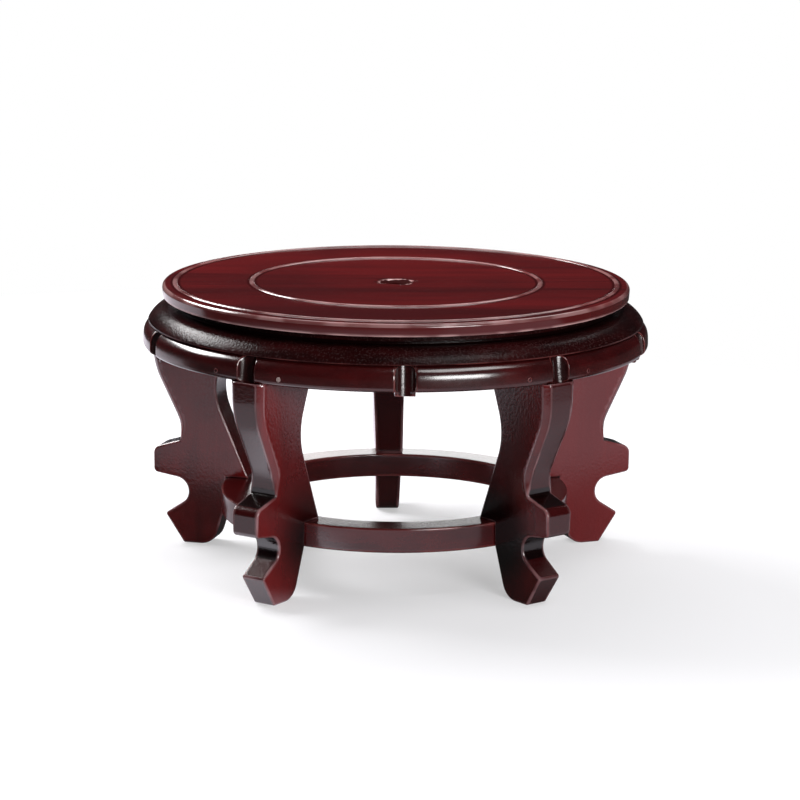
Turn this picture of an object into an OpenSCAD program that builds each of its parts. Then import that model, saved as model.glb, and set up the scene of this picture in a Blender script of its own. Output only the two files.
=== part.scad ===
// Round hardwood display stand on five sawn legs with a stretcher hoop.
// Millimetres, +Z up, origin on the floor under the centre of the top. Leg 1 points along +Y.

/* [Top panel] */
// Diameter of the panel
top_d = 200; // [170:1:260]
// Thickness of the panel at its rim
rim_h = 5.5; // [4:0.1:8]
// Rounding of the upper edge of the rim
rim_round = 1.5; // [0.5:0.1:2.5]
// How far the rim leans in towards its lower edge
rim_lean = 0.4; // [0:0.1:3]
// Depth of the spigot under the panel that drops into the rings
spigot_h = 2.5; // [1.5:0.1:6]
// Setback of the outer raised bead from the edge of the panel
outer_bead_in = 5.6; // [4:0.1:12]
// Setback of the inner raised bead from the edge of the panel
inner_bead_in = 38.3; // [20:0.1:60]
// Width of a bead
bead_w = 2.4; // [1:0.1:4]
// Height of a bead above the panel
bead_h = 0.6; // [0.2:0.1:1]
// Diameter of the centre hole
hole_d = 7; // [4:0.1:12]
// Diameter of the countersunk mouth of the centre hole
mouth_d = 14; // [13:0.1:24]
// Depth of the countersunk mouth
mouth_h = 1.5; // [0.5:0.1:3]

/* [Waist ring] */
// Setback of the neck from the edge of the panel
neck_in = 7; // [3:0.1:12]
// Height of the neck
neck_h = 4.2; // [2.6:0.1:8]
// How far the shoulder stands out beyond the panel
shoulder_out = 6; // [2:0.1:10]
// Height of the shoulder
shoulder_h = 5.9; // [4:0.1:6]
// Radius of the arc that falls from the top of the shoulder to its outer edge
shoulder_round = 11; // [6.2:0.1:12]

/* [Apron] */
// How far the moulding stands out beyond the shoulder
band_out = 2.2; // [1:0.1:4]
// Height of the moulding and of the core behind it
apron_h = 10.8; // [9:0.1:16]
// Radial width of the moulding
band_w = 10.2; // [8.5:0.1:14]
// Rounding of the upper outer edge of the moulding
band_round = 6; // [3:0.1:6.5]
// Rounding of the lower outer edge of the moulding
band_edge = 2; // [0.5:0.1:2.4]
// Radial width of the core behind the moulding, which also gives the bore of the waist ring
core_w = 25.5; // [25.4:0.1:27]
// Radius of the vertical flutes
flute_r = 4.2; // [3:0.1:6]
// How far the axis of a flute stands outside the moulding
flute_out = 0.2; // [0:0.1:1.5]
// Width of a joint block
block_w = 8.3; // [6:0.1:12]
// How far a joint block hangs below the moulding
block_drop = 1.8; // [0.5:0.1:4]
// Setback of the lower face of a joint block from the moulding
block_in = 2.2; // [1:0.1:3.5]

/* [Legs] */
// Height of a leg, up to the underside of the apron
leg_h = 95; // [88:0.2:120]
// Thickness of a leg board at the apron
leg_t = 16.2; // [13:0.1:18]
// Thickness of a leg board at the floor
foot_t = 10.4; // [8:0.1:14]
// How far the front of a leg stands proud of the moulding
leg_out = 0.6; // [0:0.1:1.5]
// Depth of a leg board at the apron
leg_top_w = 36.2; // [33:0.2:36.4]
// Depth of the hollow in the front of a leg
shin_in = 12.6; // [8:0.1:14]
// Height at which the front starts to turn in
brow_z = 80.1; // [78:0.1:82]
// Rounding of that turn
brow_round = 32; // [10:0.5:36]
// Height at which the front turns upright again
shin_z = 54.1; // [53:0.1:57]
// Rounding of that turn
shin_round = 20; // [6:0.5:22]
// Height of the top of the knob at the front
knob_top_z = 42.6; // [41.5:0.1:44]
// Rise of the top of the knob towards the shin
knob_rise = 3.8; // [0:0.1:4]
// Rounding of the upper edge of the knob
knob_round = 4; // [1:0.1:4.5]
// Height of the underside of the knob
knob_z = 31.4; // [31.3:0.1:33.5]
// Fall of the underside of the knob towards the notch
knob_fall = 2.6; // [0:0.1:2.6]
// Rounding of the lower edge of the knob
knob_low_round = 2; // [0.5:0.1:4]
// Depth of the round notch under the knob
notch_in = 16; // [14:0.1:17]
// Rounding of the notch
notch_round = 6.3; // [4:0.1:6.4]
// Height of the bottom of the notch at its back
notch_z = 20; // [18:0.1:20.2]
// Setback of the tip of the foot from the front of the leg
tip_in = 5.1; // [2:0.1:6]
// Height of the tip of the foot
tip_z = 12.8; // [11:0.1:14]
// Setback of the toe at the floor
toe_in = 13.5; // [9:0.1:15]
// Setback of the heel at the floor
heel_in = 27.3; // [25:0.1:29]
// Rounding of the heel
heel_round = 8; // [3:0.1:9]
// Setback of the deepest point of the back edge
back_in = 27.8; // [26:0.1:29]
// Height of the deepest point of the back edge
back_z = 69.5; // [66:0.1:74]
// Rounding of the back edge there
back_round = 26; // [10:0.5:30]
// Slope of the back edge over the hoop, as inward run for a unit of height
back_slope = 0.418; // [0.3:0.002:0.44]
// Rounding of the small corners of a leg
edge_round = 1.2; // [0.4:0.1:1.5]

/* [Stretcher hoop] */
// Setback of the outside of the hoop from the edge of the panel
hoop_in = 25; // [24:0.1:26]
// Radial width of the hoop
hoop_w = 13; // [11:0.1:16]
// Height of the hoop
hoop_h = 10.3; // [8:0.1:11]
// Height of the underside of the hoop above the floor
hoop_z = 20.9; // [20:0.1:24]

/* [Fasteners] */
// Diameter of the dowels between legs and apron
leg_dowel_d = 6; // [4:0.1:8]
// Depth of those dowels in the leg
leg_dowel_low = 12; // [8:0.5:18]
// Depth of those dowels in the apron core
leg_dowel_high = 7.5; // [4:0.1:7.8]
// Setback of the outer dowel of a leg from the outside of the core
leg_dowel_in = 6; // [5:0.1:7]
// Radial distance between the two dowels of a leg
leg_dowel_gap = 10; // [8:0.1:11]
// Diameter of the dowels between hoop and legs
hoop_dowel_d = 5; // [3:0.1:6]
// Depth of those dowels in the hoop
hoop_dowel_in = 7; // [4:0.1:10]
// Depth of those dowels in the leg
hoop_dowel_out = 9; // [5:0.1:12]
// Diameter of a screw shank
screw_d = 3.5; // [2.5:0.1:4.5]
// Diameter of a screw head
screw_head_d = 7; // [6:0.1:8]
// Height of a screw head
screw_head_h = 2.2; // [1.5:0.1:3]
// Depth of a screw in the panel
screw_bite = 3; // [2:0.1:3.5]
// Width of the slot in a screw head
screw_slot_w = 0.9; // [0.5:0.1:1.4]
// Depth of that slot
screw_slot_h = 0.9; // [0.4:0.1:1.2]
// Diameter of a brad
brad_d = 1.4; // [1:0.1:2]
// Length of a brad
brad_len = 16; // [12:0.5:20]
// Diameter of a brad head
brad_head_d = 2.2; // [2.1:0.1:3]
// Thickness of a brad head
brad_head_h = 0.8; // [0.4:0.1:1.2]
// How far a brad head is set below the face of the moulding
brad_set = 0.3; // [0:0.1:0.8]
// Angle between a brad and the middle of its leg
brad_angle = 8.3; // [6:0.1:24]
// Height of a brad above the underside of the moulding
brad_up = 3; // [2.5:0.1:4.5]

/* [Fits] */
// Gap left for glue between glued curved faces
glue_gap = 0.05; // [0.02:0.01:0.2]
// Clearance around the spigot, on the radius
spigot_gap = 0.2; // [0.05:0.05:0.5]
// Clearance around dowels, brads and screw threads, on the radius
pin_gap = 0.05; // [0.02:0.01:0.2]
// Clearance around screw shanks in the two rings, on the radius
shank_gap = 0.2; // [0.1:0.05:0.5]
// Spare depth at the end of a blind hole
blind_gap = 0.5; // [0.2:0.1:1]

/* [Hidden] */

$fn = 96;
leg_count = 5;
bay = 360 / leg_count;
over = 1;
corner_steps = 10;

lacquer = [0.30, 0.07, 0.08];
lacquer_dark = [0.20, 0.05, 0.06];
beech = [0.80, 0.65, 0.45];
steel = [0.60, 0.60, 0.62];

// Heights of the layers above the floor
apron_z = leg_h;
waist_z = apron_z + apron_h;
neck_z = waist_z + shoulder_h;
rim_z = neck_z + neck_h;
top_z = rim_z + rim_h;

// Radii that several pieces share
top_r = top_d / 2;
neck_r = top_r - neck_in;
shoulder_r = top_r + shoulder_out;
band_r = shoulder_r + band_out;
core_r = band_r - band_w - glue_gap;
bore_r = core_r - core_w;
spigot_r = bore_r - spigot_gap;
hoop_r = top_r - hoop_in;
hoop_mid_z = hoop_z + hoop_h / 2;
screw_r = (bore_r + core_r) / 2;
leg_dowel_r = [core_r - leg_dowel_in - leg_dowel_gap, core_r - leg_dowel_in];
brad_z = apron_z + brad_up;
brad_head_r = band_r - brad_set;
brad_tip_r = brad_head_r - brad_len;

function leg_angle(i) = 90 + bay * (i - 1);
function joint_angle(i) = leg_angle(i) + bay / 2;

// Corner rounding: each outline point is [x, y, radius]
function flat(p) = [p.x, p.y];
function unit(v) = v / norm(v);
function rounded_corner(before, corner, after) =
    let (
        to_before = unit(flat(before) - flat(corner)),
        to_after = unit(flat(after) - flat(corner)),
        half_angle = acos(to_before * to_after) / 2,
        middle = unit(to_before + to_after),
        centre = flat(corner) + middle * corner.z / sin(half_angle),
        mid_angle = atan2(-middle.y, -middle.x),
        turn = sign(cross(to_before, to_after)) * (90 - half_angle)
    )
    [for (k = [0 : corner_steps])
        let (a = mid_angle + turn - 2 * turn * k / corner_steps)
        centre + corner.z * [cos(a), sin(a)]];
function rounded(points) =
    let (n = len(points))
    [for (i = [0 : n - 1])
        each points[i].z == 0
            ? [flat(points[i])]
            : rounded_corner(points[(i + n - 1) % n], points[i], points[(i + 1) % n])];

module quarter_disc(r) {
    intersection() {
        circle(r);
        square(r + over);
    }
}

// A pin along +X from one radius to another at a given height
module radial_pin(d, from_r, to_r, z) {
    translate([from_r, 0, z])
        rotate([0, 90, 0])
            cylinder(d = d, h = to_r - from_r);
}

// Children placed at every leg, or at every joint between mouldings
module at_each_leg() {
    for (i = [1 : leg_count])
        rotate([0, 0, leg_angle(i)])
            children();
}

module at_each_joint() {
    for (i = [1 : leg_count])
        rotate([0, 0, joint_angle(i)])
            children();
}

// The two brads that hold the moulding over one leg
module at_each_brad() {
    for (side = [-1, 1])
        rotate([0, 0, side * brad_angle])
            children();
}

// One countersunk screw, grown by a gap where it cuts its hole
module screw(gap, spare) {
    cone_h = (screw_head_d - screw_d) / 2;
    translate([screw_r, 0, apron_z]) {
        translate([0, 0, -spare])
            cylinder(d = screw_head_d + 2 * gap, h = screw_head_h - cone_h + spare);
        translate([0, 0, screw_head_h - cone_h])
            cylinder(d1 = screw_head_d + 2 * gap, d2 = screw_d + 2 * gap, h = cone_h);
        cylinder(d = screw_d + 2 * gap, h = rim_z + screw_bite - apron_z + spare);
    }
}

// One brad, grown by a gap where it cuts its hole
module brad(gap, spare) {
    radial_pin(brad_d + 2 * gap, brad_tip_r - spare, brad_head_r, brad_z);
    radial_pin(brad_head_d + 2 * gap, brad_head_r - brad_head_h - gap, brad_head_r + spare * band_w, brad_z);
}

module top_panel_profile() {
    bead_r = (pow(bead_w / 2, 2) + pow(bead_h, 2)) / (2 * bead_h);
    difference() {
        union() {
            polygon([[0, 0], [top_r - rim_lean, 0], [top_r, rim_h - rim_round], [0, rim_h - rim_round]]);
            square([top_r - rim_round, rim_h]);
            translate([top_r - rim_round, rim_h - rim_round])
                quarter_disc(rim_round);
            for (setback = [outer_bead_in, inner_bead_in])
                translate([top_r - setback, rim_h + bead_h - bead_r])
                    circle(bead_r);
            translate([0, -spigot_h])
                square([spigot_r, spigot_h]);
        }
        translate([0, -spigot_h - over])
            square([hole_d / 2, spigot_h + rim_h + 2 * over]);
        polygon([[0, rim_h], [mouth_d / 2, rim_h], [hole_d / 2, rim_h - mouth_h], [0, rim_h - mouth_h]]);
    }
}

module top_panel() {
    color(lacquer)
        difference() {
            translate([0, 0, rim_z])
                rotate_extrude()
                    top_panel_profile();
            at_each_joint()
                screw(pin_gap, blind_gap);
        }
}

module waist_ring_profile() {
    arc_z = shoulder_h - shoulder_round;
    arc_r = shoulder_r - sqrt(pow(shoulder_round, 2) - pow(arc_z, 2));
    translate([bore_r, 0]) {
        square([arc_r - bore_r, shoulder_h]);
        square([neck_r - bore_r, shoulder_h + neck_h]);
    }
    intersection() {
        translate([arc_r, arc_z])
            circle(shoulder_round);
        translate([arc_r - over, 0])
            square([shoulder_round + over, shoulder_h]);
    }
}

module waist_ring() {
    color(lacquer_dark)
        difference() {
            translate([0, 0, waist_z])
                rotate_extrude()
                    waist_ring_profile();
            at_each_joint()
                screw(shank_gap, blind_gap);
        }
}

module apron_core() {
    color(lacquer_dark)
        difference() {
            translate([0, 0, apron_z])
                rotate_extrude()
                    translate([bore_r, 0])
                        square([core_r - bore_r, apron_h]);
            at_each_joint()
                screw(shank_gap, over);
            at_each_leg() {
                leg_dowel_pair(pin_gap, blind_gap);
                at_each_brad()
                    brad(pin_gap, blind_gap);
            }
        }
}

// Section of the moulding, well rounded above and eased below
module band_profile() {
    inner_r = band_r - band_w;
    polygon(rounded([[inner_r, 0, 0], [band_r, 0, band_edge], [band_r, apron_h, band_round], [inner_r, apron_h, 0]]));
}

// Section of a joint block: the moulding carried on down behind its lower edge
module block_profile() {
    band_profile();
    translate([band_r - band_w, -block_drop])
        square([band_w - block_in, block_drop + band_edge]);
}

module flute() {
    translate([band_r + flute_out, 0, apron_z - block_drop - over])
        cylinder(r = flute_r, h = apron_h + block_drop + 2 * over);
}

// Space of a joint block, seen from the axis of the stand
module block_space(w) {
    translate([core_r / 2, -w / 2, apron_z - block_drop - over])
        cube([band_r, w, apron_h + block_drop + 2 * over]);
}

module apron_moulding(i) {
    color(lacquer)
        rotate([0, 0, leg_angle(i)])
            difference() {
                rotate([0, 0, -bay / 2])
                    translate([0, 0, apron_z])
                        rotate_extrude(angle = bay)
                            band_profile();
                for (side = [-1, 1])
                    rotate([0, 0, side * bay / 2]) {
                        block_space(block_w + 2 * glue_gap);
                        flute();
                    }
                flute();
                at_each_brad()
                    brad(pin_gap, blind_gap);
            }
}

module joint_block(i) {
    color(lacquer)
        rotate([0, 0, joint_angle(i)])
            difference() {
                intersection() {
                    translate([0, 0, apron_z])
                        rotate_extrude()
                            block_profile();
                    block_space(block_w);
                }
                flute();
            }
}

// Outline of a leg, as reach from the axis of the stand and height, from the top front corner down
function leg_outline() =
    let (
        front = band_r + leg_out,
        lip_z = hoop_mid_z,
        lip_r = front - back_in - back_slope * (back_z - lip_z)
    )
    rounded([
        [front, leg_h, 0],
        [front, brow_z, brow_round],
        [front - shin_in, shin_z, shin_round],
        [front - shin_in, knob_top_z + knob_rise, edge_round],
        [front, knob_top_z, knob_round],
        [front, knob_z, knob_low_round],
        [front - notch_in, knob_z - knob_fall, notch_round],
        [front - notch_in, notch_z, notch_round],
        [front - tip_in, tip_z, edge_round / 2],
        [front - toe_in, 0, edge_round],
        [front - heel_in, 0, heel_round],
        [hoop_r + glue_gap, hoop_z, 0],
        [hoop_r + glue_gap, lip_z, 0],
        [lip_r, lip_z, 0],
        [front - back_in, back_z, back_round],
        [front - leg_top_w, leg_h, 0]
    ]);

// Width of the board seen from the front, tapering from the apron to the floor
module leg_front() {
    polygon([[-foot_t / 2, 0], [foot_t / 2, 0], [leg_t / 2, leg_h], [-leg_t / 2, leg_h]]);
}

module leg_dowel_pair(gap, spare) {
    for (r = leg_dowel_r)
        translate([r, 0, leg_h - leg_dowel_low - spare])
            cylinder(d = leg_dowel_d + 2 * gap, h = leg_dowel_low + leg_dowel_high + 2 * spare);
}

module hoop_dowel(gap, spare) {
    radial_pin(hoop_dowel_d + 2 * gap, hoop_r - hoop_dowel_in - spare, hoop_r + hoop_dowel_out + spare, hoop_mid_z);
}

module leg(i) {
    color(lacquer)
        rotate([0, 0, leg_angle(i)])
            difference() {
                intersection() {
                    rotate([90, 0, 0])
                        linear_extrude(leg_t + over, center = true)
                            polygon(leg_outline());
                    rotate([90, 0, 90])
                        linear_extrude(band_r + leg_out + over)
                            leg_front();
                }
                translate([0, 0, hoop_z])
                    cylinder(r = hoop_r + glue_gap, h = hoop_h);
                leg_dowel_pair(pin_gap, blind_gap);
                hoop_dowel(pin_gap, blind_gap);
            }
}

module stretcher_hoop() {
    color(lacquer)
        difference() {
            translate([0, 0, hoop_z])
                rotate_extrude()
                    translate([hoop_r - hoop_w, 0])
                        square([hoop_w, hoop_h]);
            at_each_leg()
                hoop_dowel(pin_gap, blind_gap);
        }
}

module leg_dowels() {
    color(beech)
        at_each_leg()
            leg_dowel_pair(0, 0);
}

module hoop_dowels() {
    color(beech)
        at_each_leg()
            hoop_dowel(0, 0);
}

module frame_screws() {
    color(steel)
        at_each_joint()
            difference() {
                screw(0, 0);
                translate([screw_r - screw_head_d, -screw_slot_w / 2, apron_z - over])
                    cube([2 * screw_head_d, screw_slot_w, screw_slot_h + over]);
            }
}

module moulding_brads() {
    color(steel)
        at_each_leg()
            at_each_brad()
                brad(0, 0);
}

top_panel();
waist_ring();
apron_core();
apron_moulding(1);  // apron_moulding_1
apron_moulding(2);  // apron_moulding_2
apron_moulding(3);  // apron_moulding_3
apron_moulding(4);  // apron_moulding_4
apron_moulding(5);  // apron_moulding_5
joint_block(1);  // joint_block_1
joint_block(2);  // joint_block_2
joint_block(3);  // joint_block_3
joint_block(4);  // joint_block_4
joint_block(5);  // joint_block_5
leg(1);  // leg_1
leg(2);  // leg_2
leg(3);  // leg_3
leg(4);  // leg_4
leg(5);  // leg_5
stretcher_hoop();
leg_dowels();
hoop_dowels();
frame_screws();
moulding_brads();
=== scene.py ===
# Looks of the round hardwood stand: lacquered pieces with soft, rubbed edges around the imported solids.
import math

import bmesh
import bpy
from mathutils import Matrix, Quaternion, Vector, noise
from mathutils.geometry import delaunay_2d_cdt


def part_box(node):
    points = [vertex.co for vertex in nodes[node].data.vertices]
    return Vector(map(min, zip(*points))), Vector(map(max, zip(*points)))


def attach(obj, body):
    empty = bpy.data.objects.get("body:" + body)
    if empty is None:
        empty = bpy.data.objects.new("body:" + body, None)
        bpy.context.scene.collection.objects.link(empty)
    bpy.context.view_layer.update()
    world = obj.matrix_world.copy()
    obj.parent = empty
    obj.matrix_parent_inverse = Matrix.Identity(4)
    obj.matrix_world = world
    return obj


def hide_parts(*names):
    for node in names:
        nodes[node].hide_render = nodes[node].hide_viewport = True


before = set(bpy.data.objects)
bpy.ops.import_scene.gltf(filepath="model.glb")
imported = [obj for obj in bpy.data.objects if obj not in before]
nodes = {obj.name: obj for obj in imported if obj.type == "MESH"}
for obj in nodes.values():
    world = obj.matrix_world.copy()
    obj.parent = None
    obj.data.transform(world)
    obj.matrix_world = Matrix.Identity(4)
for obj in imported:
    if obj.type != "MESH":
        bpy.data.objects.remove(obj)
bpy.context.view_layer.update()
mm = 0.001
weld = 1e-6                                         # points this close, in metres, are one
white = (1, 1, 1, 1)
legCount = 5
bay = 2 * math.pi / legCount
print("frame loaded:", len(nodes), "nodes")


# Shader maths

class Socket:                                       # a node's output that can be used in sums
    def __init__(self, finish, link):
        self.finish, self.link = finish, link

    def math(self, operation, first, second):
        return self.finish.node("ShaderNodeMath", {"operation": operation}, {0: first, 1: second})

    def __add__(self, other):
        return self.math("ADD", self, other)

    def __radd__(self, other):
        return self.math("ADD", other, self)

    def __sub__(self, other):
        return self.math("SUBTRACT", self, other)

    def __rsub__(self, other):
        return self.math("SUBTRACT", other, self)

    def __mul__(self, other):
        return self.math("MULTIPLY", self, other)

    def __rmul__(self, other):
        return self.math("MULTIPLY", other, self)

    def between(self, low, high):                   # 0 below low, 1 above high, smooth in between
        return self.finish.node("ShaderNodeMapRange", {"interpolation_type": "SMOOTHSTEP"},
                                {"Value": self, "From Min": low, "From Max": high})


class Finish:                                       # a material or world and the nodes behind it
    def __init__(self, owner):
        self.owner = owner
        owner.use_nodes = True
        self.tree = owner.node_tree
        self.tree.nodes.clear()

    def node(self, kind, settings=None, sockets=None, output=0):
        made = self.tree.nodes.new(kind)
        for key, value in (settings or {}).items():
            setattr(made, key, value)
        for key, value in (sockets or {}).items():
            if isinstance(value, Socket):
                self.tree.links.new(value.link, made.inputs[key])
            else:
                made.inputs[key].default_value = value
        return Socket(self, made.outputs[output]) if len(made.outputs) else None

    def mix(self, share, first, second):            # colours
        return self.node("ShaderNodeMix", {"data_type": "RGBA"}, {0: share, 6: first, 7: second}, 2)

    def cloud(self, place, size, detail=3.0, distortion=0.0):               # size in mm
        return self.node("ShaderNodeTexNoise", {}, {
            "Vector": place, "Scale": 1 / mm / size, "Detail": detail, "Distortion": distortion})

    def place(self):
        return self.node("ShaderNodeTexCoord", output="Object")

    def mark(self, name):                           # a value that the mesh carries
        return self.node("ShaderNodeAttribute", {"attribute_name": name}, output="Fac")

    def bump(self, strength, height, value):        # height in mm
        return self.node("ShaderNodeBump", {}, {"Strength": strength, "Distance": height * mm, "Height": value})

    def cover(self, sockets):                       # ends the material with one surface
        surface = self.node("ShaderNodeBsdfPrincipled", {}, sockets)
        self.node("ShaderNodeOutputMaterial", {}, {"Surface": surface})
        return self.owner


# Lacquer over hardwood. Colours are linear, sizes in millimetres.

lacquerSpans = {                                    # where a noise or a mark begins to count, and counts in full
    "tone": (0.36, 0.64), "thick": (0.4, 0.68), "speck": (0.50, 0.74), "paintedSheen": (0.3, 0.7), "sawn": (0.2, 0.8),
    "hollow": (0.1, 0.7), "wear": (0.3, 1.0), "rubbed": (0.40, 0.60),
}
evenTone = 0.5                                      # the middle of a noise


def lacquer(name, look):
    finish, spans = Finish(bpy.data.materials.new(name)), lacquerSpans
    place = finish.place()
    board = finish.node("ShaderNodeMapping", {}, {
        "Vector": place, "Rotation": look["turn"], "Scale": look["stretch"]})
    figure = finish.cloud(board, look["figure"], detail=4.0, distortion=0.6)
    streak = finish.cloud(board, look["streak"], detail=6.0, distortion=0.2)
    patch = finish.cloud(place, look["patch"], detail=2.0)
    peel = finish.cloud(place, look["peel"], detail=1.5)
    wave = finish.cloud(place, look["wave"], detail=1.0)
    speck = finish.cloud(place, look["speck"], detail=1.0).between(*spans["speck"])

    tone = (figure * (1 - look["streaky"]) + streak * look["streaky"]).between(*spans["tone"])
    colour = finish.mix(tone, look["dark"], look["light"])
    thick = patch.between(*spans["thick"]) * look["pooling"]
    colour = finish.mix(thick, colour, look["dark"])                        # thicker lacquer is darker
    colour = finish.mix(speck * look["specks"], colour, look["dustAndGlints"])       # pale specks: grains in the lacquer and painted glints
    pale = finish.mark("pale") * (look["litLeast"] + look["litSwing"] * patch)
    colour = finish.mix(pale, colour, look["pale"])                         # painted light: boards that take more light are paler
    # painted sheen: a mauve reflection painted high up at the back of the leg boards
    paintedSheen = finish.mark("paintedSheen") * peel.between(*spans["paintedSheen"])
    colour = finish.mix(paintedSheen, colour, look["sheenTint"])
    sawn = finish.mark("sawn").between(*spans["sawn"])
    colour = finish.mix(sawn, colour, look["soaked"])                       # sawn edges soak up more stain
    # painted shade: near black in concave corners, on the leg ledges and notches, on shaded broad sides and round
    # the hoop joints
    hollow = finish.mark("hollow").between(*spans["hollow"])
    colour = finish.mix(hollow, colour, look["shaded"])
    # lighter edges: real wear, and on the top also a painted highlight
    uneven = look["rubLeast"] + (1 - look["rubLeast"]) * wave.between(*spans["rubbed"])
    rubbed = finish.mark("wear").between(*spans["wear"]) * uneven * look["wear"]
    colour = finish.mix(rubbed, colour, look["wornAndHighlight"])
    rough = look["rough"] + look["patchRough"] * (patch - evenTone) + look["peelRough"] * (peel - evenTone)
    rough = rough + look["rubRough"] * rubbed
    height = peel * (look["peelHeight"] + look["shadedHeight"] * hollow)
    height = height + wave * look["waveHeight"] + streak * look["grainHeight"]
    return finish.cover({"Base Color": colour, "Roughness": rough, "IOR": look["index"],
                         "Normal": finish.bump(1.0, 1, height)})


flatGrain = {"turn": (0, 0, 0.16), "stretch": (0.07, 1, 1)}        # grain from side to side
ringGrain = {"turn": (0, 0, 0), "stretch": (0.25, 0.25, 1)}        # grain that lies level in the rings
legGrain = {"turn": (0, 0, 0), "stretch": (1, 1, 0.09)}            # grain that runs up the leg boards

lacquerBase = {
    "dark": (0.040, 0.0022, 0.0024, 1), "light": (0.095, 0.0046, 0.0046, 1), "wornAndHighlight": (0.30, 0.080, 0.075, 1),
    "soaked": (0.034, 0.0026, 0.0028, 1), "shaded": (0.004, 0.0008, 0.0008, 1), "pale": (0.29, 0.044, 0.048, 1),
    "sheenTint": (0.17, 0.10, 0.11, 1),
    "figure": 16, "streak": 3.2, "streaky": 0.4, "patch": 34, "pooling": 0.4, "wear": 0.4,
    "peel": 1.3, "peelHeight": 0.014, "wave": 14, "waveHeight": 0.05, "grainHeight": 0.002,
    "rough": 0.17, "patchRough": 0.10, "peelRough": 0.06, "rubRough": 0.10, "shadedHeight": 0.03, "index": 1.70,
    "speck": 0.8, "specks": 0.03, "dustAndGlints": (0.20, 0.13, 0.13, 1),
    "litLeast": 0.7, "litSwing": 0.6, "rubLeast": 0.3,
}
topLook = dict(lacquerBase, **flatGrain, rough=0.11, index=1.50, pooling=0.7, patch=70, wear=0.8,
               figure=40, streaky=0.25, dark=(0.056, 0.0058, 0.0066, 1), light=(0.142, 0.0096, 0.0104, 1),
               # painted highlight: the top's edge colour is pale enough to light up the beads, rim and chipped
               # mouth
               wornAndHighlight=(0.65, 0.39, 0.38, 1),
               peelHeight=0.001, waveHeight=0.010, grainHeight=0.0, shaded=(0.045, 0.0034, 0.0036, 1),
               soaked=(0.075, 0.0070, 0.0075, 1))
# painted shade: the waist ring is kept near black, darker than the top, for the shade under the rim
ringLook = dict(lacquerBase, **ringGrain, rough=0.22, index=1.17, peelHeight=0.16, peel=0.9, pooling=0.6,
                specks=0.10, dark=(0.008, 0.0014, 0.0015, 1), light=(0.024, 0.0026, 0.0028, 1))
# painted shade: the band's colours are kept darker than the top's for the little light on its front
bandLook = dict(lacquerBase, **ringGrain, rough=0.19, peelHeight=0.010, wave=9, waveHeight=0.05,
                dark=(0.020, 0.0017, 0.0019, 1), light=(0.048, 0.0032, 0.0034, 1))
legLook = dict(lacquerBase, **legGrain, rough=0.17, figure=40, streaky=0.15, pooling=0.75, wear=0.5,
               peel=1.1, peelHeight=0.055, dark=(0.050, 0.0024, 0.0024, 1), light=(0.150, 0.0056, 0.0056, 1),
               wornAndHighlight=(0.38, 0.20, 0.21, 1))
hoopLook = dict(lacquerBase, **ringGrain, rough=0.17, peelHeight=0.03, peel=0.9,
                dark=(0.032, 0.0026, 0.0030, 1), light=(0.074, 0.0046, 0.0052, 1))
coreLook = dict(lacquerBase, **flatGrain, rough=0.36, wear=0.2, light=(0.050, 0.0050, 0.0050, 1))

topLacquer = lacquer("topLacquer", topLook)
ringLacquer = lacquer("ringLacquer", ringLook)
bandLacquer = lacquer("bandLacquer", bandLook)
legLacquer = lacquer("legLacquer", legLook)
hoopLacquer = lacquer("hoopLacquer", hoopLook)
coreLacquer = lacquer("coreLacquer", coreLook)


def bareBeech():
    look = {"pale": (0.62, 0.42, 0.24, 1), "brown": (0.42, 0.25, 0.12, 1), "fleck": 1.1, "stretch": (1, 1, 0.1),
            "span": (0.35, 0.65), "rough": 0.55, "fleckRough": 0.2, "bump": 0.4, "height": 0.05}
    finish = Finish(bpy.data.materials.new("bareBeech"))
    along = finish.node("ShaderNodeMapping", {}, {"Vector": finish.place(), "Scale": look["stretch"]})
    fleck = finish.cloud(along, look["fleck"], detail=4.0)
    return finish.cover({
        "Base Color": finish.mix(fleck.between(*look["span"]), look["pale"], look["brown"]),
        "Roughness": look["rough"] + look["fleckRough"] * (fleck - evenTone),
        "Normal": finish.bump(look["bump"], look["height"], fleck)})


def plainSteel(name, bright, dull):
    look = {"scratch": 0.5, "stretch": (0.1, 1, 1), "stain": 2.5, "span": (0.42, 0.7), "rough": 0.32,
            "stainRough": 0.25, "scratchRough": 0.15, "bump": 0.3, "height": 0.02}
    finish = Finish(bpy.data.materials.new(name))
    place = finish.place()
    along = finish.node("ShaderNodeMapping", {}, {"Vector": place, "Scale": look["stretch"]})
    scratch = finish.cloud(along, look["scratch"])
    stain = finish.cloud(place, look["stain"]).between(*look["span"])
    rough = look["rough"] + look["stainRough"] * stain + look["scratchRough"] * (scratch - evenTone)
    return finish.cover({"Base Color": finish.mix(stain, bright, dull), "Metallic": 1.0, "Roughness": rough,
                         "Normal": finish.bump(look["bump"], look["height"], scratch)})


def putty(name, colour, shade):
    look = {"grit": 0.35, "span": (0.3, 0.7), "rough": 0.7, "gritRough": 0.3, "index": 1.05, "bump": 0.5,
            "height": 0.05}
    finish = Finish(bpy.data.materials.new(name))
    grit = finish.cloud(finish.place(), look["grit"])
    return finish.cover({
        "Base Color": finish.mix(grit.between(*look["span"]), colour, shade),
        "Roughness": look["rough"] + look["gritRough"] * (grit - evenTone), "IOR": look["index"],
        "Normal": finish.bump(look["bump"], look["height"], grit)})


beech = bareBeech()
screwSteel = plainSteel("screwSteel", (0.55, 0.55, 0.57, 1), (0.22, 0.17, 0.13, 1))
bradSteel = plainSteel("bradSteel", (0.45, 0.43, 0.42, 1), (0.18, 0.13, 0.10, 1))
palePutty = putty("palePutty", (0.42, 0.34, 0.32, 1), (0.24, 0.17, 0.16, 1))
holeShade = putty("holeShade", (0.020, 0.003, 0.003, 1), (0.038, 0.005, 0.005, 1))
print("finishes made")


# Mesh helpers. Outlines are in millimetres, meshes in metres.

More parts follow.
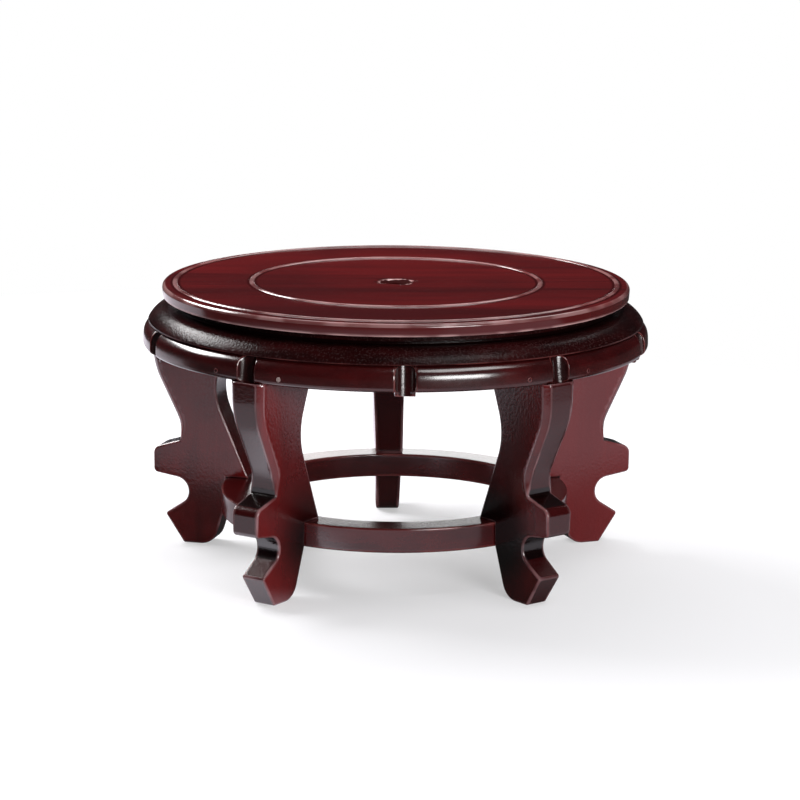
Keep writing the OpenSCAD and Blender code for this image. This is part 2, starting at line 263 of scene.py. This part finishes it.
def roundCorners(corners, steps=8):                 # corners are (x, y, radius)
    path = []
    for i, (x, y, radius) in enumerate(corners):
        here = Vector((x, y))
        if not radius:
            path.append(here)
            continue
        before = (Vector(corners[i - 1][:2]) - here).normalized()
        after = (Vector(corners[(i + 1) % len(corners)][:2]) - here).normalized()
        half = before.angle(after) / 2
        inward = (before + after).normalized()
        centre = here + inward * radius / math.sin(half)
        facing = math.atan2(-inward.y, -inward.x)
        turn = math.copysign(math.pi / 2 - half, before.x * after.y - before.y * after.x)
        for k in range(steps + 1):
            angle = facing + turn - 2 * turn * k / steps
            path.append(centre + radius * Vector((math.cos(angle), math.sin(angle))))
    return path


def evenOut(path, longest):                         # more points on long straight runs
    filled = []
    for here, after in zip(path, path[1:] + path[:1]):
        count = max(1, math.ceil((after - here).length / longest))
        filled += [here.lerp(after, k / count) for k in range(count)]
    return filled


def ramp(value, low, high):                         # 0 at low, 1 at high, straight in between
    return max(0.0, min(1.0, (value - low) / (high - low)))


def softLeast(first, second, width):                # the lesser of two reaches, with a rounded arris
    near = max(width - abs(first - second), 0) / width
    return min(first, second) - near * near * width / 4


def addLayers(mesh, *names):                        # a new layer moves the others: look them up afterwards
    for name in names:
        mesh.attributes.new(name, "FLOAT", "POINT")


def markWear(mesh, sharpest=0.9, deepest=1.6):      # bends of these radii in mm count fully as wear, or fully as painted shade
    shape = bmesh.new()
    shape.from_mesh(mesh)
    shape.normal_update()
    addLayers(mesh, "wear", "hollow")
    wear, hollow = mesh.attributes["wear"], mesh.attributes["hollow"]
    for vert in shape.verts:
        bends = [2 * vert.normal.dot(vert.co - edge.other_vert(vert).co) / edge.calc_length() ** 2
                 for edge in vert.link_edges if edge.calc_length() > weld]
        wear.data[vert.index].value = ramp(max(bends, default=0.0) * sharpest * mm, 0, 1)
        hollow.data[vert.index].value = ramp(-min(bends, default=0.0) * deepest * mm, 0, 1)
    shape.free()


def addPiece(name, shape, material, slot, *replaced):
    bmesh.ops.recalc_face_normals(shape, faces=shape.faces)
    mesh = bpy.data.meshes.new(name)
    shape.to_mesh(mesh)
    shape.free()
    mesh.polygons.foreach_set("use_smooth", [True] * len(mesh.polygons))
    mesh.materials.append(material)
    markWear(mesh)
    piece = bpy.data.objects.new(name, mesh)
    bpy.context.scene.collection.objects.link(piece)
    piece.modifiers.new("evenShading", "WEIGHTED_NORMAL").keep_sharp = True
    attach(piece, "root")
    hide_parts(*replaced)
    return piece.data


def gridShape(rows, closeRows=False, caps=True):    # rows of points joined by quads, each row a closed loop
    shape = bmesh.new()
    made = [[shape.verts.new(p) for p in row] for row in rows]
    pairs = list(zip(made, made[1:] + made[:1])) if closeRows else list(zip(made, made[1:]))
    for one, two in pairs:
        for j in range(len(one)):
            k = (j + 1) % len(one)
            shape.faces.new((one[j], one[k], two[k], two[j]))
    if caps and not closeRows:
        shape.faces.new(made[0])
        shape.faces.new(reversed(made[-1]))
    return shape


def turned(profile, steps=288):                     # a closed section in (radius, height) spun round the axis
    rows = []
    for i in range(steps):
        angle = 2 * math.pi * i / steps
        rows.append([Vector((p.x * math.cos(angle), p.x * math.sin(angle), p.y)) * mm for p in profile])
    return gridShape(rows, closeRows=True)


def heights(node):                                  # lowest and highest z of a node in mm
    low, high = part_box(node)
    return low.z / mm, high.z / mm


def reach(node):                                    # outer radius of a round node in mm
    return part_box(node)[1].x / mm


# Top panel

topPanel = {
    "rimHeight": 5.5, "rimRound": 1.5, "rimLean": 0.4, "footRound": 0.7, "borderFall": 0.25,
    "outerBeadIn": 5.6, "innerBeadIn": 38.3, "beadWidth": 2.4, "beadHeight": 0.6,
    "holeRadius": 3.5, "mouthRadius": 7.0, "mouthDepth": 1.5, "mouthRound": 0.8,
    "spigotRadius": 72.25, "longest": 1.6, "slack": 0.01,
    "chips": ((108, 66), (190, 36), (20, 18), (305, 32)),           # middles and half widths in degrees
    "chipSize": 0.7, "chipReach": 2.0, "chipBelow": 0.6, "chipLeast": 0.6, "chipSwing": 0.8, "chipBare": 3.5,
    "chipsPerMetre": 520,
}


def bead(radius, level, look, steps=10):
    half, rise = look["beadWidth"] / 2, look["beadHeight"] - look["slack"]
    ball = (half * half + rise * rise) / (2 * rise)
    spread = math.asin(half / ball)
    return [Vector((radius + ball * math.sin(a), level + rise - ball + ball * math.cos(a)))
            for a in [spread - 2 * spread * k / steps for k in range(steps + 1)]]


def chipAt(spot, look):                             # 1 in the middle of a chip, 0 between the chips
    turn = math.degrees(math.atan2(spot.y, spot.x))
    away = [abs((turn - middle + 180) % 360 - 180) / wide for middle, wide in look["chips"]]
    return max(0.0, 1 - min(away) ** 2)


def makeTopPanel(look):
    edge = reach("top_panel")
    low, high = heights("top_panel")
    face = high - look["beadHeight"]
    under = face - look["rimHeight"]
    bore, mouth = look["holeRadius"], look["mouthRadius"]
    rim = roundCorners([
        (look["spigotRadius"], low, 0), (look["spigotRadius"], under, 0),
        (edge - look["rimLean"], under, look["footRound"]),
        (edge, face - look["borderFall"], look["rimRound"]),
        (edge - look["outerBeadIn"], face, 0), (mouth, face, look["mouthRound"]),
        (bore, face - look["mouthDepth"], look["mouthRound"]), (bore, low, 0)])
    mouthStart = next(i for i, p in enumerate(rim) if p.x < mouth + 2 * look["mouthRound"])
    beads = bead(edge - look["outerBeadIn"], face, look) + bead(edge - look["innerBeadIn"], face, look)
    border, middle = edge - look["outerBeadIn"] + look["beadWidth"] / 2, (under + face) / 2
    outer = [p for p in rim[:mouthStart] if p.x > border or p.y < middle]
    shape = turned(evenOut(outer + beads + rim[mouthStart:], look["longest"]))
    shape.verts.index_update()
    chipped = {}
    for vert in shape.verts:                        # chips and tear-out round the mouth of the hole
        spread = vert.co.to_2d().length / mm
        deepest = (face - look["mouthDepth"] - look["chipBelow"]) * mm
        if spread < mouth + look["chipReach"] and vert.co.z > deepest:
            grain = noise.noise(Vector((vert.co.x, vert.co.y, 0)) * look["chipsPerMetre"])
            ragged = look["chipLeast"] + look["chipSwing"] * grain
            fade = max(0.0, 1 - abs(spread - mouth) / look["chipReach"]) * chipAt(vert.co, look) * ragged
            vert.co.z -= look["chipSize"] * fade * mm
            chipped[vert.index] = min(1.0, look["chipBare"] * fade)
    mesh = addPiece("topPanel", shape, topLacquer, "top_lacquer", "top_panel")
    addLayers(mesh, "sawn")
    wear, sawn = mesh.attributes["wear"], mesh.attributes["sawn"]
    for index, bare in chipped.items():
        wear.data[index].value = bare
    mesh.materials.append(holeShade)
    for facet in mesh.polygons:                     # painted shade: a dark fill inside the hole
        facet.material_index = int(facet.center.to_2d().length / mm < mouth - look["mouthRound"])
    for vert in mesh.vertices:                      # the rim shows end grain
        onRim = vert.co.to_2d().length > look["spigotRadius"] * mm
        sawn.data[vert.index].value = 1 - abs(vert.normal.z) if onRim else 0


makeTopPanel(topPanel)
print("top panel turned")


# Waist ring and stretcher hoop

waistRing = {"neckRadius": 93.0, "neckHeight": 4.2, "neckRound": 0.8, "shoulderRound": 11.0, "boreRadius": 72.45,
             "longest": 1.2, "arcSteps": 14}
stretcherHoop = {"width": 13.0, "edgeRound": 0.7, "longest": 1.6}


def makeWaistRing(look):
    edge = reach("waist_ring")
    low, high = heights("waist_ring")
    shoulder, big = high - look["neckHeight"], look["shoulderRound"]
    widest = math.acos((big - shoulder + low) / big)         # turn of the arc from the top of the shoulder
    middle = edge - big * math.sin(widest)
    arc = [(middle + big * math.sin(a), shoulder - big + big * math.cos(a), 0)
           for a in [widest * (1 - k / look["arcSteps"]) for k in range(look["arcSteps"] + 1)]]
    shape = turned(evenOut(roundCorners([
        (look["boreRadius"], low, 0), *arc, (look["neckRadius"], shoulder, look["neckRound"]),
        (look["neckRadius"], high, 0), (look["boreRadius"], high, 0)], steps=6), look["longest"]))
    addPiece("waistRing", shape, ringLacquer, "ring_lacquer", "waist_ring")


def makeHoop(look):
    edge = reach("stretcher_hoop")
    low, high = heights("stretcher_hoop")
    r = look["edgeRound"]
    shape = turned(evenOut(roundCorners([
        (edge - look["width"], low, r), (edge, low, r), (edge, high, r), (edge - look["width"], high, r)],
        steps=5), look["longest"]))
    addPiece("stretcherHoop", shape, hoopLacquer, "hoop_lacquer", "stretcher_hoop")


makeWaistRing(waistRing)
makeHoop(stretcherHoop)
print("waist ring and hoop turned")


# Mouldings with a flute over each leg, and the fluted blocks that close their joints

apron = {
    "bandRadius": 108.2, "bandWidth": 10.2, "upperRound": 6.0, "lowerRound": 2.0,
    "fluteRadius": 4.2, "fluteOut": 0.2, "fluteLean": 0.13, "arris": 0.8, "blockArris": 0.48,
    "blockWidth": 8.3, "blockIn": 2.2, "blockDrop": 1.8, "dropRound": 0.5, "joint": 0.05,
    "endRound": 0.5, "endFall": 0.6, "blockFall": 0.5, "longest": 1.0, "blockLongest": 0.8, "blockSteps": 24,
    "turnStep": 1.0, "fluteStep": 0.12, "fluteTurn": 3.0, "endTurns": (33.5, 33.75, 33.9), "endPart": 0.9,
}


def bandSection(look, low, high, drop=0.0):         # closed section from the inner lower corner outwards
    outer, inner = look["bandRadius"], look["bandRadius"] - look["bandWidth"]
    inset = outer - look["blockIn"]
    skirt = [(inset, low - drop, look["dropRound"]), (inset, low, 0)] if drop else []
    return roundCorners([(inner, low - drop, 0), *skirt, (outer, low, look["lowerRound"]),
                         (outer, high, look["upperRound"]), (inner, high, 0)], steps=12)


def fluteReach(look, across, lift):                 # how far out the wood goes, across and up the flute
    axis, radius = look["bandRadius"] + look["fluteOut"] - look["fluteLean"] * lift, look["fluteRadius"]
    return axis - math.sqrt(radius * radius - across * across) if abs(across) < radius else axis


def endFall(gap, share, look):                      # how far the wood falls back, this close to its end
    near = max(0.0, 1 - gap / look["endRound"])
    return look["endRound"] * (1 - math.sqrt(1 - near * near)) * share


def turns(step, widest):                            # even steps to both sides
    count = int(widest / step)
    return [step * k for k in range(-count, count + 1)]


def makeMoulding(number, look):
    node = f"apron_moulding_{number}"
    low, high = heights(node)
    section = evenOut(bandSection(look, low, high), look["longest"])
    middle, widest = math.pi / 2 + bay * (number - 1), look["endTurns"][-1]
    cuts = turns(look["fluteStep"], look["fluteTurn"])
    cuts += [cut for cut in turns(look["turnStep"], widest) if abs(cut) > look["fluteTurn"]]
    cuts += [side * cut for cut in look["endTurns"] for side in (-1, 1)]
    rows = []
    for cut in sorted(cuts):
        share, turn = cut / widest, math.radians(cut)
        row = []
        for p in section:
            limit = bay / 2 - math.asin((look["blockWidth"] / 2 + look["joint"]) / p.x)
            angle = share * limit if abs(share) > look["endPart"] else turn
            flute = fluteReach(look, p.x * math.sin(angle), p.y - (low + high) / 2)
            out = softLeast(p.x, flute, look["arris"])
            out -= endFall((limit - abs(angle)) * p.x, look["endFall"], look)
            row.append(Vector((out * math.cos(middle + angle), out * math.sin(middle + angle), p.y)) * mm)
        rows.append(row)
    addPiece(f"apronMoulding_{number}", gridShape(rows), bandLacquer, "band_lacquer", node)


def makeBlock(number, look):
    node = f"joint_block_{number}"
    low, high = heights(node)
    section = evenOut(bandSection(look, low + look["blockDrop"], high, look["blockDrop"]), look["blockLongest"])
    middle = math.pi / 2 + bay * (number - 1 / 2)
    wide, steps = look["blockWidth"] / 2, look["blockSteps"]
    rows = []
    for k in range(-steps, steps + 1):
        across = wide * k / steps
        row = []
        for p in section:
            flute = fluteReach(look, across, p.y - (low + look["blockDrop"] + high) / 2)
            out = softLeast(math.sqrt(p.x ** 2 - across ** 2), flute, look["blockArris"])
            out -= endFall(wide - abs(across), look["blockFall"], look)
            spot = Matrix.Rotation(middle, 2) @ Vector((out, across))
            row.append(Vector((spot.x, spot.y, p.y)) * mm)
        rows.append(row)
    shape = gridShape(rows)
    bmesh.ops.remove_doubles(shape, verts=shape.verts, dist=weld)
    addPiece(f"jointBlock_{number}", shape, bandLacquer, "band_lacquer", node)


for number in range(1, legCount + 1):
    makeMoulding(number, apron)
    makeBlock(number, apron)
print("apron mouldings and joint blocks made")


# Legs: sawn boards with rubbed edges. Setbacks are from the front of the leg, heights from the floor.

leg = {
    "thick": 16.2, "footThick": 10.4, "topDepth": 36.2, "shinIn": 12.6, "browZ": 80.1, "browRound": 32,
    "shinZ": 54.1, "shinRound": 20, "knobTopZ": 42.6, "knobRise": 3.8, "knobRound": 4,
    "knobZ": 31.4, "knobFall": 2.6, "knobLowRound": 2,
    "notchIn": 16, "notchRound": 6.3, "notchZ": 20, "tipIn": 5.1, "tipZ": 12.8, "toeIn": 13.5,
    "heelIn": 27.3, "heelRound": 8, "backIn": 27.8, "backZ": 69.5, "backRound": 26, "backSlope": 0.418,
    "cornerRound": 1.2, "glueGap": 0.05, "slack": 0.02, "same": 1e-4, "longest": 1.5, "fill": 2,
    "edgeRound": 1.0, "browEdge": 2.4, "edgeFrom": 1, "edgeBlend": 7, "edgeSlack": 0.1, "bevel": 0.75,
    "bendSteps": 6, "flatSteps": 8, "measuredLoop": 4, "sawnFrom": 0.7, "broadTo": 0.4,
    # painted shade on the ledge and in the notch; per board below: painted light, painted shade on the broad side
    # and round the hoop joint, painted sheen
    "ledgeShade": {"lift": (41.6, 49.4), "setIn": (2.5, 13.6)}, "notchShade": {"lift": (19, 30.9), "setIn": (6, 17)},
    "jointReach": 36, "sheenIn": (12, 32), "sheenZ": (46, 84),
    "litBoards": (0.05, 0.04, 0.12, 0.0, 0.42), "shadedBoards": (0.2, 0.0, 0.1, 0.3, 0.0),
    "shadedJoints": (0.2, 0.1, 0.7, 1.0, 0.1), "sheenBoards": (0.2, 0.25, 0.5, 0.7, 0.15),
}


def legOutline(look):
    front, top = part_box("leg_1")[1].y / mm - look["slack"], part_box("leg_1")[1].z / mm
    hoopLow, hoopHigh = heights("stretcher_hoop")
    hoopSide = reach("stretcher_hoop") + look["glueGap"]
    hoopInner = hoopSide - stretcherHoop["width"]
    lipZ = hoopHigh + look["glueGap"]
    lipReach = front - look["backIn"] - look["backSlope"] * (look["backZ"] - lipZ)
    c = look["cornerRound"]
    return roundCorners([
        (front, top, 0), (front, look["browZ"], look["browRound"]),
        (front - look["shinIn"], look["shinZ"], look["shinRound"]),
        (front - look["shinIn"], look["knobTopZ"] + look["knobRise"], c),
        (front, look["knobTopZ"], look["knobRound"]), (front, look["knobZ"], look["knobLowRound"]),
        (front - look["notchIn"], look["knobZ"] - look["knobFall"], look["notchRound"]),
        (front - look["notchIn"], look["notchZ"], look["notchRound"]),
        (front - look["tipIn"], look["tipZ"], c), (front - look["toeIn"], 0, c),
        (front - look["heelIn"], 0, look["heelRound"]), (hoopSide, hoopLow, 0), (hoopSide, lipZ, 0),
        (max(lipReach, hoopInner), lipZ, 0), (front - look["backIn"], look["backZ"], look["backRound"]),
        (front - look["topDepth"], top, 0)], steps=10)


def drawIn(outline, depths, sharpest=0.5):          # the outline set in by a depth at each point
    inner = []
    for before, here, after, depth in zip(outline[-1:] + outline, outline, outline[1:] + outline[:1], depths):
        one, two = (here - before).normalized(), (after - here).normalized()
        inward = Vector((one.y + two.y, -one.x - two.x)).normalized()
        inner.append(here + inward * depth / max(sharpest, inward.dot(Vector((one.y, -one.x)))))
    return inner


def unfold(path, outline):                          # points that were drawn past a corner join it
    count = len(path)
    for i in [*range(count), *reversed(range(count))]:
        k = (i + 1) % count
        if (path[k] - path[i]).dot(outline[k] - outline[i]) < 0:
            corner = max(i, k, key=lambda j: (path[j] - outline[j]).length)
            path[i] = path[k] = path[corner]
    return path


def easing(outline, look):                          # rounding of the edges: generous down the curved front
    low = look["knobTopZ"] + look["knobRise"] + look["edgeFrom"]
    shin = outline[0].x - look["shinIn"] - look["edgeSlack"]
    rounds = []
    for p in outline:
        rise = ramp(p.y, low, low + look["edgeBlend"]) if p.x > shin else 0.0
        rounds.append(look["edgeRound"] + (look["browEdge"] - look["edgeRound"]) * rise)
    return rounds


def legLoops(outline, look):                        # loops of points (reach, distance from the middle, height)
    half, rounds, top = look["thick"] / 2, easing(outline, look), outline[0].y
    steps, across = look["bendSteps"], look["flatSteps"]
    flat = [[Vector((p.x, (half - r) * (2 * k / across - 1), p.y)) for p, r in zip(outline, rounds)]
            for k in range(across + 1)]
    bend = []
    bevels = [look["bevel"] * (r - look["edgeRound"]) / (look["browEdge"] - look["edgeRound"]) for r in rounds]
    for k in range(1, steps + 1):                   # a bevel down the front, a plain round elsewhere
        a = math.pi / 2 * k / steps
        path = drawIn(outline, [r * (b * k / steps + (1 - b) * (1 - math.cos(a))) for r, b in zip(rounds, bevels)])
        path = [Vector((p.x, full.y)) if full.y > top - look["slack"] else p for p, full in zip(path, outline)]
        bend.append([Vector((p.x, half - r + r * (b * k / steps + (1 - b) * math.sin(a)), p.y))
                     for p, r, b in zip(unfold(path, outline), rounds, bevels)])
    return [[Vector((p.x, -p.y, p.z)) for p in loop] for loop in reversed(bend)] + flat + bend


def insideBy(spot, path, margin):                   # whether a point lies that far inside a closed path
    inside = False
    for one, two in zip(path, path[1:] + path[:1]):
        if (one.y > spot.y) != (two.y > spot.y):
            if spot.x < one.x + (two.x - one.x) * (spot.y - one.y) / (two.y - one.y):
                inside = not inside
        if (one - spot).length < margin:
            return False
    return inside


def fillSide(shape, loop, look):                    # a broad side, filled with small triangles
    path, gap = [Vector((p.x, p.z)) for p in loop], look["fill"]
    path = [here for here, after in zip(path, path[1:] + path[:1]) if (after - here).length > look["same"]]
    low, high = min(p.x for p in path), max(p.x for p in path)
    spots = [Vector((low + gap * i, gap * k)) for i in range(int((high - low) / gap) + 1)
             for k in range(int(max(p.y for p in path) / gap) + 1)]
    spots = [p for p in spots if insideBy(p, path, gap / 2)]
    insideOnly, tolerance = 1, 1e-5
    fill = delaunay_2d_cdt(path + spots, [], [list(range(len(path)))], insideOnly, tolerance)
    made = [shape.verts.new(Vector((p.x, loop[0].y, p.y)) * mm) for p in fill[0]]
    for corner in fill[2]:
        shape.faces.new([made[i] for i in corner])


def inShade(zone, lift, setIn):
    return zone["lift"][0] < lift < zone["lift"][1] and zone["setIn"][0] < setIn < zone["setIn"][1]


def paintLeg(mesh, number, across, front, look):
    addLayers(mesh, "sawn", "pale", "paintedSheen")
    sawn, pale, paintedSheen, hollow = [mesh.attributes[name].data for name in ("sawn", "pale", "paintedSheen", "hollow")]
    joint = Vector((reach("stretcher_hoop"), sum(heights("stretcher_hoop")) / 2))
    litBoard, shadedBoard, shadedJoint, sheenBoard = [
        look[key][number - 1] for key in ("litBoards", "shadedBoards", "shadedJoints", "sheenBoards")]
    for i, vert in enumerate(mesh.vertices):
        onEdge = 1 - abs(vert.normal.dot(across))
        # painted light: a lighter tone on the boards that take more light
        sawn[i].value, pale[i].value = onEdge, litBoard
        setIn, lift = front - vert.co.to_2d().length / mm, vert.co.z / mm
        shaded = inShade(look["ledgeShade"], lift, setIn) or inShade(look["notchShade"], lift, setIn)
        if onEdge > look["sawnFrom"] and shaded:    # painted shade on the ledge and in the notch
            hollow[i].value = 1.0
        if onEdge < look["broadTo"]:                # painted shade on shaded broad sides and round the joint of the hoop, painted sheen high up at the back
            close = 1 - ramp((Vector((front - setIn, lift)) - joint).length, 0, look["jointReach"])
            hollow[i].value = max(hollow[i].value, shadedBoard, shadedJoint * close)
            paintedSheen[i].value = sheenBoard * ramp(setIn, *look["sheenIn"]) * ramp(lift, *look["sheenZ"])


def makeLeg(number, look):
    node = f"leg_{number}"
    loops = legLoops(evenOut(legOutline(look), look["longest"]), look)
    shape = gridShape([[p * mm for p in loop] for loop in loops], caps=False)
    for loop in (loops[0], loops[-1]):
        fillSide(shape, loop, look)
    bmesh.ops.remove_doubles(shape, verts=shape.verts, dist=weld)
    top = heights(node)[1]
    for vert in shape.verts:                        # the board thins towards the floor
        thick = look["footThick"] + (look["thick"] - look["footThick"]) * vert.co.z / mm / top
        vert.co.y *= thick / look["thick"]
    spin = Matrix.Rotation(math.pi / 2 + bay * (number - 1), 4, "Z")
    bmesh.ops.transform(shape, matrix=spin, verts=shape.verts)
    mesh = addPiece(f"leg_{number}.board", shape, legLacquer, "leg_lacquer", node)
    front = max(p.x for p in loops[look["measuredLoop"]])
    paintLeg(mesh, number, spin @ Vector((0, 1, 0)), front, look)


for number in range(1, legCount + 1):
    makeLeg(number, leg)
print("legs sawn")


# Filled brad holes beside every leg, lacquered over. One filling has lost its colour.

bradFilling = {
    "angle": 8.3, "up": 3.0, "radius": 1.0, "proud": 0.06, "paleLeg": 3, "paleSide": 1,
    "sides": 20, "uneven": 0.12,
    "dome": ((-0.5, 1.0), (0.3, 1.0), (0.8, 0.85), (1.0, 0.5), (0.9, 0.15)),        # shares of proud and radius
}


def makeFilling(number, side, look):
    low = heights(f"apron_moulding_{number}")[0]
    turn = Matrix.Rotation(math.pi / 2 + bay * (number - 1) + side * math.radians(look["angle"]), 4, "Z")
    spot = turn @ Vector((apron["bandRadius"], 0, low + look["up"]))
    rows = []
    for depth, share in look["dome"]:
        row = []
        for k in range(look["sides"]):
            a = 2 * math.pi * k / look["sides"]
            ragged = look["uneven"] * noise.noise(Vector((math.cos(a), math.sin(a), number + side)))
            r = look["radius"] * share * (1 + ragged)
            row.append((spot + turn @ Vector((look["proud"] * depth, r * math.cos(a), r * math.sin(a)))) * mm)
        rows.append(row)
    pale = number == look["paleLeg"] and side == look["paleSide"]
    addPiece(f"bradFilling_{number}{'b' if side > 0 else 'a'}", gridShape(rows),
             palePutty if pale else bandLacquer, "band_lacquer")


for number in range(1, legCount + 1):
    for side in (-1, 1):
        makeFilling(number, side, bradFilling)


# Solids that stay as they are

for node, material in (("apron_core", coreLacquer), ("leg_dowels", beech), ("hoop_dowels", beech),
                       ("frame_screws", screwSteel), ("moulding_brads", bradSteel)):
    nodes[node].data.materials.clear()
    nodes[node].data.materials.append(material)
print("fillings placed, solids painted")


# Stage: a pale table, soft boxes and the camera

table = {
    "size": 8.0, "colour": (0.92, 0.91, 0.94, 1), "bounce": (0.50, 0.49, 0.51, 1), "far": (0.02, 0.02, 0.02, 1),
    "glow": 0.45, "clothEnd": (0.41, 0.47), "farther": 0.22, "weave": 0.8, "weaveBump": 0.1, "weaveHeight": 0.1,
    "leftSide": (0.12, -0.05), "farSide": (0.05, 0.2), "backSide": (0.06, 0.16),
    "frontRight": (0.1, 0.3), "frontMore": 0.14,
    "sheen": (3.0, 2.85, 3.15, 1), "unlit": (0.05, 0.05, 0.05, 1), "shadow": (0.09, 0.13),
    "plain": 0.17, "leftMore": 0.06, "backMore": 0.25, "spotMore": 0.34,
    # painted dark strips beside the stand and a painted pool of light by the front-left foot, both seen only in
    # reflections
    "shadeStrips": {"middle": -0.02, "near": 0.032, "clear": 0.05},
    "spot": {"place": (-0.085, -0.095, 0), "core": 0.025, "rim": 0.065},
}


def mirroredCloth(finish, place, spread, left, along, beyond, look):    # painted reflection: glowing cloth seen only in the lacquer, with a painted shadow under the stand, painted dark strips beside it and a painted pool of light by the front-left foot
    shadeStrips, spot = look["shadeStrips"], look["spot"]
    offset = along - shadeStrips["middle"]
    offset = offset.math("MAXIMUM", offset, 0 - offset)
    lit = (1 - beyond) * offset.between(shadeStrips["near"], shadeStrips["clear"]) * spread.between(*look["shadow"])
    toSpot = finish.node("ShaderNodeVectorMath", {"operation": "DISTANCE"}, {0: place, 1: spot["place"]}, "Value")
    behind = left * along.between(*look["backSide"])
    shade = lit * (look["plain"] + look["leftMore"] * left + look["backMore"] * behind)
    shade = shade + look["spotMore"] * toSpot.between(spot["rim"], spot["core"])
    return finish.node("ShaderNodeEmission", {}, {
        "Color": finish.mix(shade, look["unlit"], look["sheen"]), "Strength": 1.0})


def makeTable(look):
    bpy.ops.mesh.primitive_plane_add(size=look["size"])
    floor = bpy.context.object
    floor.name = "table"
    finish = Finish(bpy.data.materials.new("paleCloth"))
    place = finish.place()
    seen = finish.node("ShaderNodeLightPath", output="Is Camera Ray")
    glossy = finish.node("ShaderNodeLightPath", output="Is Glossy Ray")
    across, along = [finish.node("ShaderNodeSeparateXYZ", {}, {0: place}, axis) for axis in ("X", "Y")]
    spread = finish.node("ShaderNodeVectorMath", {"operation": "LENGTH"}, {0: place}, "Value")
    left = across.between(*look["leftSide"])
    farther = look["farther"] * left * along.between(*look["farSide"])
    ahead = across.between(*look["frontRight"]) * (0 - along).between(*look["farSide"])
    farther = farther + look["frontMore"] * ahead
    beyond = (spread - farther).between(*look["clothEnd"])
    weave = finish.cloud(place, look["weave"], detail=2.0)
    bump = finish.bump(look["weaveBump"], look["weaveHeight"], weave)
    shown, bouncing = [finish.node("ShaderNodeBsdfDiffuse", {}, {"Color": look[key], "Normal": bump})
                       for key in ("colour", "bounce")]
    dim = finish.node("ShaderNodeBsdfDiffuse", {}, {"Color": look["far"]})
    bright = finish.node("ShaderNodeEmission", {}, {"Color": white, "Strength": 1.0})

    def blend(share, first, second):
        return finish.node("ShaderNodeMixShader", {}, {0: share, 1: first, 2: second})

    cloth = blend(seen * look["glow"], blend(seen, bouncing, shown), bright)
    whole = blend(beyond, cloth, blend(seen, dim, bright))
    mirrored = mirroredCloth(finish, place, spread, left, along, beyond, look)
    finish.node("ShaderNodeOutputMaterial", {}, {"Surface": blend(glossy, whole, mirrored)})
    floor.data.materials.append(finish.owner)


# Soft boxes: direction from the stand in degrees, distance and size in metres, brightness as seen in a mirror
boxAim = Vector((0, 0, 0.08))
softBoxes = {
    "backLeft": {"azimuth": 140, "height": 38, "distance": 1.0, "size": (0.76, 0.32), "bright": 19},
    "frontRight": {"azimuth": 295, "height": 12, "distance": 0.9, "size": (0.36, 0.24), "bright": 19},
    "behind": {"azimuth": 75, "height": 52, "distance": 1.1, "size": (0.9, 0.40), "bright": 4},
    "overhead": {"azimuth": 315, "height": 63, "distance": 1.1, "size": (0.6, 0.36), "bright": 6},
    "lowCard": {"azimuth": 88, "height": 2, "distance": 0.34, "size": (0.22, 0.07), "bright": 2.6},
}


def makeSoftBox(name, look):
    width, tall = look["size"]
    light = bpy.data.lights.new(name + "SoftBox", "AREA")
    light.shape = "RECTANGLE"
    light.size, light.size_y = width, tall
    light.energy = math.pi * width * tall * look["bright"]
    around, up = math.radians(look["azimuth"]), math.radians(look["height"])
    toLight = Vector((math.cos(around) * math.cos(up), math.sin(around) * math.cos(up), math.sin(up)))
    box = bpy.data.objects.new(name + "SoftBox", light)
    box.location = boxAim + toLight * look["distance"]
    box.rotation_mode = "QUATERNION"
    box.rotation_quaternion = (-toLight).to_track_quat("-Z", "Y")
    bpy.context.scene.collection.objects.link(box)


room = {"dim": (0.11, 0.11, 0.12, 1), "mirrored": (0.012, 0.011, 0.013, 1)}


def makeRoom(look):
    world = bpy.data.worlds.new("room")
    bpy.context.scene.world = world
    finish = Finish(world)
    glossy = finish.node("ShaderNodeLightPath", output="Is Glossy Ray")
    seen = finish.node("ShaderNodeLightPath", output="Is Camera Ray")
    around = finish.mix(glossy, look["dim"], look["mirrored"])
    colour = finish.mix(seen, around, white)
    back = finish.node("ShaderNodeBackground", {}, {"Color": colour, "Strength": 1.0})
    finish.node("ShaderNodeOutputWorld", {}, {"Surface": back})


# Camera from the photograph's perspective, in millimetres and degrees
cameraView = {"place": (-49.1, -1299.0, 344.9), "aim": (2.1, -0.1, 69.5), "roll": 0.48,
              "lens": 138.5, "sensor": 36}


def makeCamera(look):
    lens = bpy.data.cameras.new("camera")
    lens.lens, lens.sensor_width = look["lens"], look["sensor"]
    camera = bpy.data.objects.new("camera", lens)
    camera.location = Vector(look["place"]) * mm
    sight = Vector(look["aim"]) * mm - camera.location
    camera.rotation_mode = "QUATERNION"
    camera.rotation_quaternion = sight.to_track_quat("-Z", "Y") @ Quaternion((0, 0, 1), math.radians(look["roll"]))
    bpy.context.scene.collection.objects.link(camera)
    bpy.context.scene.camera = camera


makeTable(table)
for name, look in softBoxes.items():
    makeSoftBox(name, look)
makeRoom(room)
makeCamera(cameraView)
bpy.context.scene.view_settings.view_transform = "Standard"
print("stage set")
